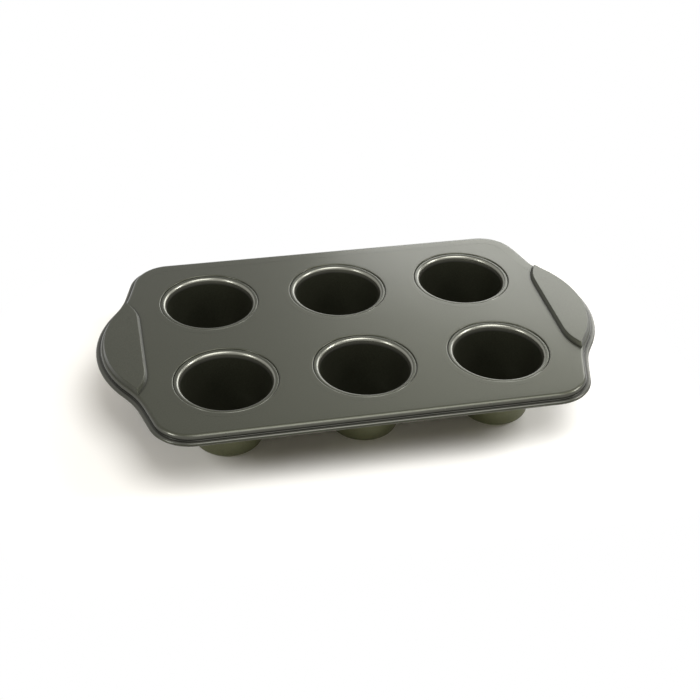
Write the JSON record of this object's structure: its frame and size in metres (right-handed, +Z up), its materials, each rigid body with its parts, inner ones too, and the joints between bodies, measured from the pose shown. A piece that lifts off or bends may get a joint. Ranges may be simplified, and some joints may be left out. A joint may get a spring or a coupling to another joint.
{
  "type": "popover pan",
  "caption": "Dark non-stick popover pan: deep tapered cups seamed into a stamped steel deck with raised end handles and a wired rim.",
  "frame": {"origin": "on the floor under the middle of the pan", "axes": "+X along the pan's length, towards its right handle; +Y towards its back long edge; +Z up"},
  "size_m": [0.3768, 0.2242, 0.055],
  "materials": {
    "coating": "satin",
    "wire": "satin"
  },
  "bodies": {
    "root": {"deck": "coating", "rim_wire": "wire", "cup_front_left": "coating", "cup_front_middle": "coating", "cup_front_right": "coating", "cup_back_left": "coating", "cup_back_middle": "coating", "cup_back_right": "coating"}
  },
  "joints": []
}
